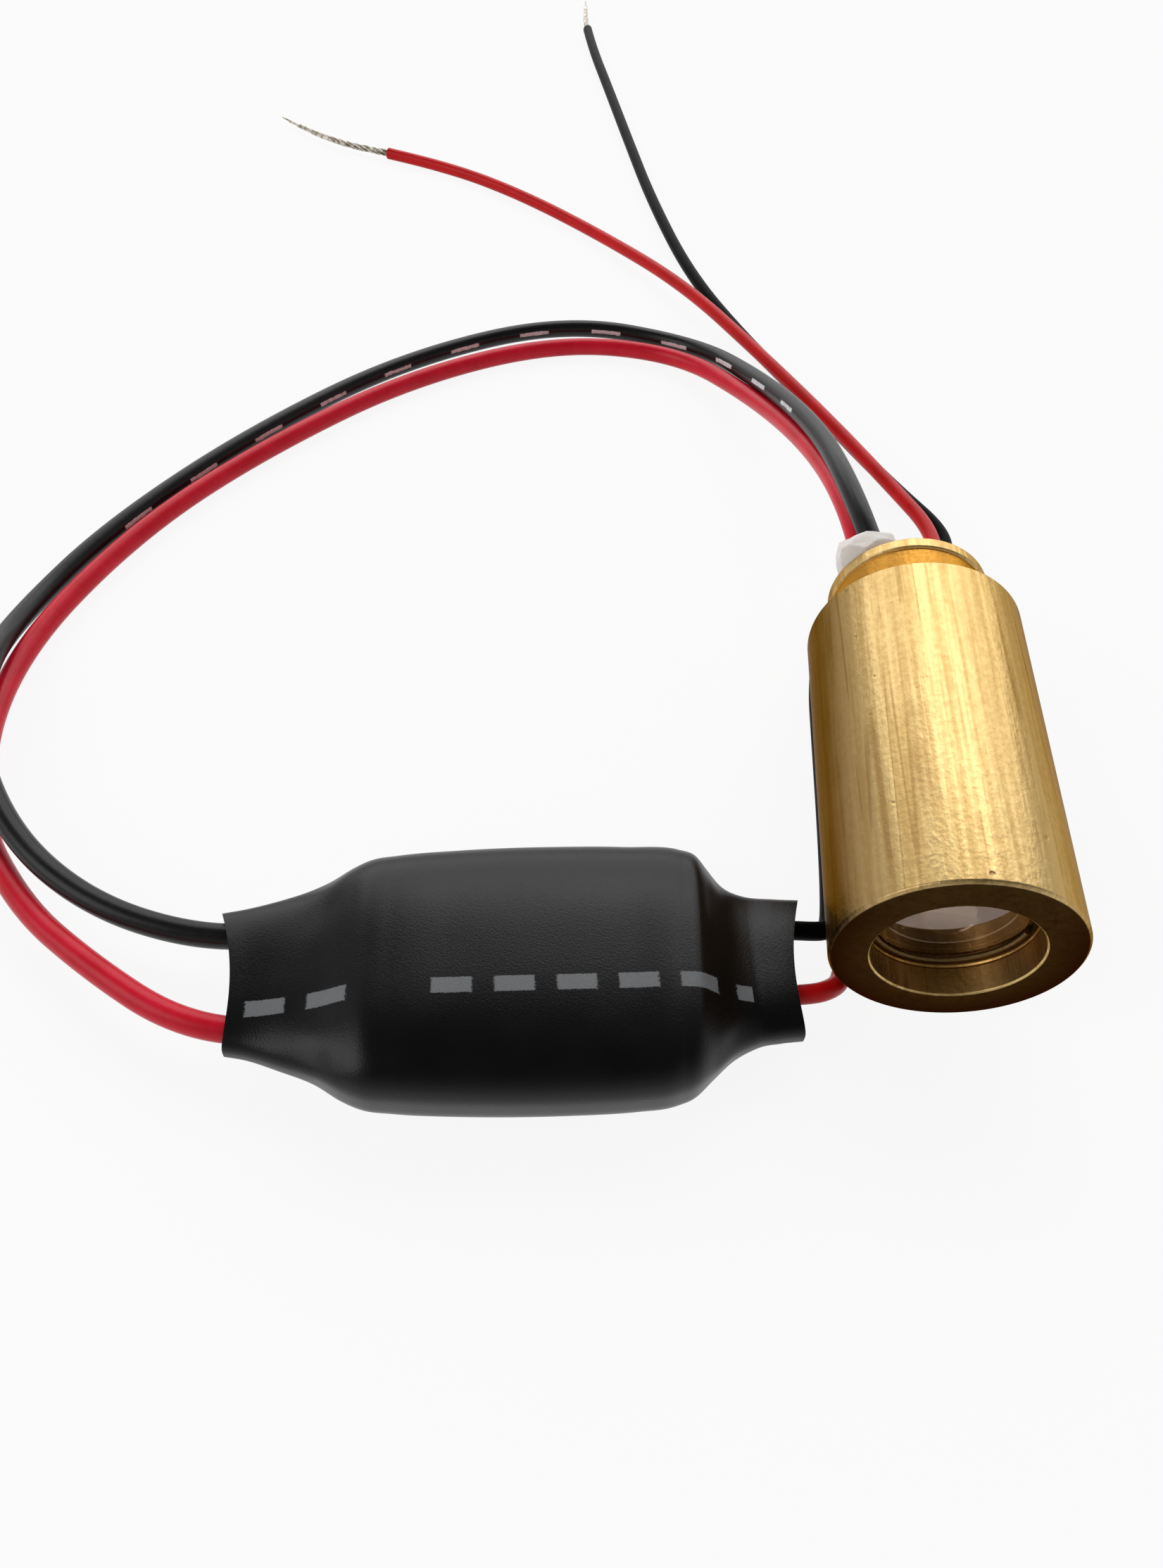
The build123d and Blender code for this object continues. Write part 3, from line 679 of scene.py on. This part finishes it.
# Lead: a circle carried along the line, radius (left cos a + up sin a), a little uneven, closed by flat
# ends. Its vertices keep their run along it and their direction round it.
def leadTube(name, route, diameter, seed, s):
    line, run = linePoints(route, s["spacing"])
    left, up = lineFrame(line)
    a = np.linspace(0, 2 * math.pi, s["sides"], endpoint=False)[None, :]
    radius = diameter / 2 * (1 + s["uneven"] * lumps(line, s["unevenSize"], seed))[:, None]
    order = np.concatenate([[0, 0], np.arange(len(line)), [-1, -1]])
    share = np.concatenate([[0, s["rim"]], np.ones(len(line)), [s["rim"], 0]])[:, None]
    across = left[order, None] * np.cos(a)[..., None] + up[order, None] * np.sin(a)[..., None]
    points = line[order, None] + (radius[order] * share)[..., None] * across
    piece = gridMesh(name, [(points, False, True)], 50)
    spots = vertexSpots(piece.data) / mm
    near = np.concatenate([((block[:, None] - line[None]) ** 2).sum(-1).argmin(1)
                           for block in np.array_split(spots, 40)])  # in blocks, to spare memory
    off = (spots - line[near]) / (diameter / 2)
    marks = {"run": run[near], "leftward": (off * left[near]).sum(1), "upward": (off * up[near]).sum(1)}
    for key, values in marks.items():
        storeMarks(piece.data, key, values)
    return piece, line


# Insulation: satin plastic with faint clouds and scuffs; a lead with dashes has plain pale ones along one
# side, between two runs.
def insulationFinish(name, dark, light, roughness, shine, dashes=None):
    f = Finish(name)
    cloud = f.noise(f.where(), 380, 3)
    scuff = f.noise(f.where(), 2600, 4, 0.65)
    colour = f.mix(f.step(cloud * 0.7 + scuff * 0.3, 0.35, 0.65), dark, light)
    if dashes:
        run, leftward, upward = (f.attribute(key) for key in ("run", "leftward", "upward"))
        facing = leftward * math.cos(dashes["angle"]) + upward * math.sin(dashes["angle"])
        phase = run.maths("FRACT", run / dashes["pitch"])
        onLine = f.step(facing + (scuff - 0.5) * 0.05, dashes["facing"], dashes["facing"] + 0.02)
        half, start, end = dashes["share"] / 2, dashes["start"], dashes["end"]
        onDash = 1 - f.step(abs(phase - 0.5) + (scuff - 0.5) * 0.05, half - 0.02, half)
        between = f.step(run, start, start + 0.1) * (1 - f.step(run, end, end + 0.1))
        colour = f.mix(onLine * onDash * between * (0.7 + scuff * 0.5), colour, dashes["colour"])
    return f.surface({"Base Color": colour, "Roughness": roughness + scuff * 0.10, "Specular IOR Level": shine,
                      "Normal": f.bump(scuff, 0.01 * mm)})


dashLook = {"colour": (0.78, 0.78, 0.77), "angle": math.radians(13), "facing": 0.965, "pitch": 6.2,
            "share": 0.42, "start": 24.0, "end": 100.0}
laserRed = insulationFinish("laserRedInsulation", dark=(0.68, 0.005, 0.022), light=(0.80, 0.012, 0.038),
                            roughness=0.27, shine=0.26)
supplyRed = insulationFinish("supplyRedInsulation", dark=(0.62, 0.004, 0.006), light=(0.74, 0.008, 0.010),
                             roughness=0.30, shine=0.20)
laserBlack = insulationFinish("laserBlackInsulation", dark=(0.004, 0.004, 0.004), light=(0.009, 0.009, 0.009),
                              roughness=0.28, shine=0.30, dashes=dashLook)
supplyBlack = insulationFinish("supplyBlackInsulation", dark=(0.003, 0.003, 0.003), light=(0.007, 0.007, 0.007),
                               roughness=0.36, shine=0.04)


# Tinned copper: bright metal with dark stains.
def strandFinish():
    f = Finish("tinnedStrand")
    cloud = f.noise(f.where(), 2600, 3)
    colour = f.mix(f.step(cloud, 0.35, 0.65), (0.30, 0.26, 0.20), (0.70, 0.65, 0.58))
    return f.surface({"Base Color": colour, "Metallic": 1.0, "Roughness": 0.26 + cloud * 0.15})


tinned = strandFinish()

strandShape = {"count": 7, "radius": 0.085, "spread": 0.19, "turns": 2.6, "sway": 0.3, "swayWaves": 9,
               "shortest": 0.72, "uneven": 0.15, "spacing": 0.15, "sides": 10}


# Bare end: a few strands, each a thin tube that winds round the line at a set distance, its angle growing
# with the run, drawn together towards the tip. The first one is straight and the longest.
def makeStrands(name, route, s, seed):
    draw = np.random.default_rng(seed)
    line, run = linePoints(route, s["spacing"])
    left, up = lineFrame(line)
    share = run / run[-1]
    v = np.linspace(0, 2 * math.pi, s["sides"], endpoint=False)[None, :, None]
    grids = []
    for k in range(s["count"]):
        rows = int(len(run) * (1.0 if k == 0 else draw.uniform(s["shortest"], 1.0)))
        part, toLeft, toTop = share[:rows], left[:rows], up[:rows]
        turn = 2 * math.pi * (k / (s["count"] - 1) + s["turns"] * part)
        turn = turn + s["sway"] * np.sin(s["swayWaves"] * part + k)
        away = (0 if k == 0 else s["spread"]) * (1.15 - 0.75 * part ** 1.5)
        away = away * draw.uniform(1 - s["uneven"], 1 + s["uneven"])
        centre = line[:rows] + toLeft * (away * np.cos(turn))[:, None] + toTop * (away * np.sin(turn))[:, None]
        thick = s["radius"] * np.concatenate([[0.0], np.ones(rows - 2), [0.0]])[:, None, None]
        across = toLeft[:, None] * np.cos(v) + toTop[:, None] * np.sin(v)
        grids.append((centre[:, None] + thick * across, False, True))
    return gridMesh(name, grids, 60)


leads = {  # routes, exits and diameters in mm, lengths in m
    "laserLeadRed": {"route": laserRedRoute, "diameter": 1.3, "finish": laserRed, "slot": "red_insulation",
                     "node": "laser_lead_red", "exit": (11.9, 15.1, 7.2), "length": 0.1431,
                     "farEnd": "object", "stiffness": "medium"},
    "laserLeadBlack": {"route": laserBlackRoute, "diameter": 1.3, "finish": laserBlack,
                       "slot": "black_insulation", "node": "laser_lead_black", "exit": (12.8, 15.1, 8.3),
                       "length": 0.1465, "farEnd": "object", "stiffness": "medium"},
    "supplyLeadRed": {"route": supplyRedRoute, "diameter": 1.0, "finish": supplyRed, "slot": "red_insulation",
                      "node": "supply_lead_red", "exit": (7.9, -10.1, 2.0), "length": 0.119,
                      "farEnd": "bare", "stiffness": "limp",
                      "tip": ("supplyStrandsRed", strandsRedRoute, "supply_strands_red")},
    "supplyLeadBlack": {"route": supplyBlackRoute, "diameter": 1.0, "finish": supplyBlack,
                        "slot": "black_insulation", "node": "supply_lead_black", "exit": (7.4, -6.4, 2.0),
                        "length": 0.1389, "farEnd": "bare", "stiffness": "limp",
                        "tip": ("supplyStrandsBlack", strandsBlackRoute, "supply_strands_black")},
}
for seed, (name, s) in enumerate(leads.items()):
    tube, line = leadTube(name, s["route"], s["diameter"], seed, leadShape)
    lead = finishPiece(tube, s["finish"], s["slot"], s["node"])
    tips = []
    if "tip" in s:
        tipName, tipRoute, tipNode = s["tip"]
        strands = makeStrands(tipName, tipRoute, strandShape, seed)
        tips = [finishPiece(strands, tinned, "tinned_copper", tipNode)]
    [c * mm for c in s["exit"]]
    s["diameter"] * mm
print("leads laid")


# Finish of a solid that keeps its own mesh: two tones in soft clouds.
def plainFinish(name, dark, light, roughness, metallic=0.0):
    f = Finish(name)
    cloud = f.noise(f.where(), 1500, 3)
    return f.surface({"Base Color": f.mix(f.step(cloud, 0.35, 0.65), dark, light), "Metallic": metallic,
                      "Roughness": roughness + cloud * 0.15, "Normal": f.bump(cloud, 0.01 * mm)})


innerFinishes = {
    "gilt": (plainFinish("giltSteel", (0.62, 0.45, 0.20), (0.80, 0.62, 0.32), 0.22, 1.0),
             ["diode_stem", "diode_cap", "diode_pins"]),
    "solder": (plainFinish("solderJoint", (0.50, 0.50, 0.51), (0.66, 0.66, 0.67), 0.28, 1.0),
               ["splice_solder", "board_solder"]),
    "board": (plainFinish("circuitBoard", (0.012, 0.085, 0.035), (0.02, 0.12, 0.05), 0.35),
              ["driver_board"]),
    "dark": (plainFinish("darkMoulding", (0.012, 0.012, 0.013), (0.03, 0.03, 0.032), 0.5),
             ["power_inductor", "driver_chip", "rectifier_diode", "sense_resistors", "laser_chip"]),
    "ceramic": (plainFinish("brownCeramic", (0.28, 0.19, 0.11), (0.40, 0.29, 0.18), 0.45),
                ["filter_capacitors"]),
    "window": (glass, ["diode_window"]),
}
for material, nodes in innerFinishes.values():
    for node in nodes:
        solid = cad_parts[node]
        solid.data.materials.clear()
        solid.data.materials.append(material)
print("inner solids finished")

stage = {"floorHalf": 1.6, "floorDrop": 0.02, "floorColour": (0.9, 0.9, 0.9), "glow": 0.9,
         "skyTop": 0.08, "skySide": 0.62, "skyBlend": (0.1, 0.85)}


# Floor: a flat grid with a pale finish just below the part. To the camera and in reflections most of its
# white is its own glow, so that only a soft shadow stays.
def makeFloor(s):
    edge = np.linspace(-s["floorHalf"], s["floorHalf"], 5) / mm
    x, y = np.meshgrid(edge, edge, indexing="ij")
    floor = gridMesh("floor", [(np.stack([x, y, np.full_like(x, -s["floorDrop"])], -1), False, False)])
    f = Finish("paleFloor")
    path = f.node("LightPath", out=["Is Camera Ray", "Is Glossy Ray", "Is Transmission Ray"])
    seen = path[0].maths("MAXIMUM", path[0], path[1].maths("MAXIMUM", path[1], path[2]))
    matt = f.node("BsdfDiffuse", None, {"Color": s["floorColour"]})
    white = f.node("Emission", None, {"Color": (1, 1, 1), "Strength": 1.0})
    both = f.node("MixShader", None, {0: seen * s["glow"], 1: matt, 2: white})
    f.node("OutputMaterial", None, {"Surface": both})
    floor.data.materials.append(f.material)


makeFloor(stage)


# Sky: grey, darker overhead than at the sides.
def makeSky(s):
    world = bpy.data.worlds.new("studio")
    bpy.context.scene.world = world
    world.use_nodes = True
    f = Finish("sky", world.node_tree)
    height = f.node("SeparateXYZ", None, {0: f.node("TexCoord", out="Generated")}, [2])[0]
    colour = f.mix(f.step(height, *s["skyBlend"]), (s["skySide"],) * 3, (s["skyTop"],) * 3)
    f.node("OutputWorld", None, {"Surface": f.node("Background", None, {"Color": colour, "Strength": 1.0})})


makeSky(stage)

lamps = {  # m and W
    "backPanel": {"at": (0.04, 0.918, 0.530), "size": (2.1, 0.86), "power": 8.8},
    "highPanel": {"at": (0.094, 0.667, 0.818), "size": (0.75, 0.25), "power": 1.6},
    "leftPanel": {"at": (-0.75, -0.25, 0.6), "size": (0.6, 0.6), "power": 2.4},
}


# Matrix of a lamp at a place that shines towards the origin.
def lookMatrix(place):
    back = np.array(place, float) / np.linalg.norm(place)
    side = np.cross([0, 0, 1.0], back)
    side /= np.linalg.norm(side)
    matrix = np.eye(4)
    matrix[:3] = np.stack([side, np.cross(back, side), back, place], 1)
    return matrix.T.tolist()


for name, s in lamps.items():
    lamp = bpy.data.lights.new(name, "AREA")
    lamp.shape, lamp.energy = "RECTANGLE", s["power"]
    lamp.size, lamp.size_y = s["size"]
    holder = bpy.data.objects.new(name, lamp)
    holder.matrix_world = lookMatrix(s["at"])
    bpy.context.collection.objects.link(holder)

cameraLook = {"at": (-3.629, -38.845, 53.333), "turn": (38.306, -3.176, 4.218), "lens": 26.98, "sensor": 36,
              "nearest": 0.002}  # places and lens in mm, turn in degrees, nearest in m
lens = bpy.data.cameras.new("camera")
lens.lens, lens.sensor_width, lens.sensor_fit = cameraLook["lens"], cameraLook["sensor"], "AUTO"
lens.clip_start = cameraLook["nearest"]
camera = bpy.data.objects.new("camera", lens)
place = Matrix.Translation([c * mm for c in cameraLook["at"]])
camera.matrix_world = place @ Euler([math.radians(c) for c in cameraLook["turn"]]).to_matrix().to_4x4()
bpy.context.collection.objects.link(camera)
bpy.context.scene.camera = camera
bpy.context.scene.view_settings.view_transform = "Standard"
print("stage set")
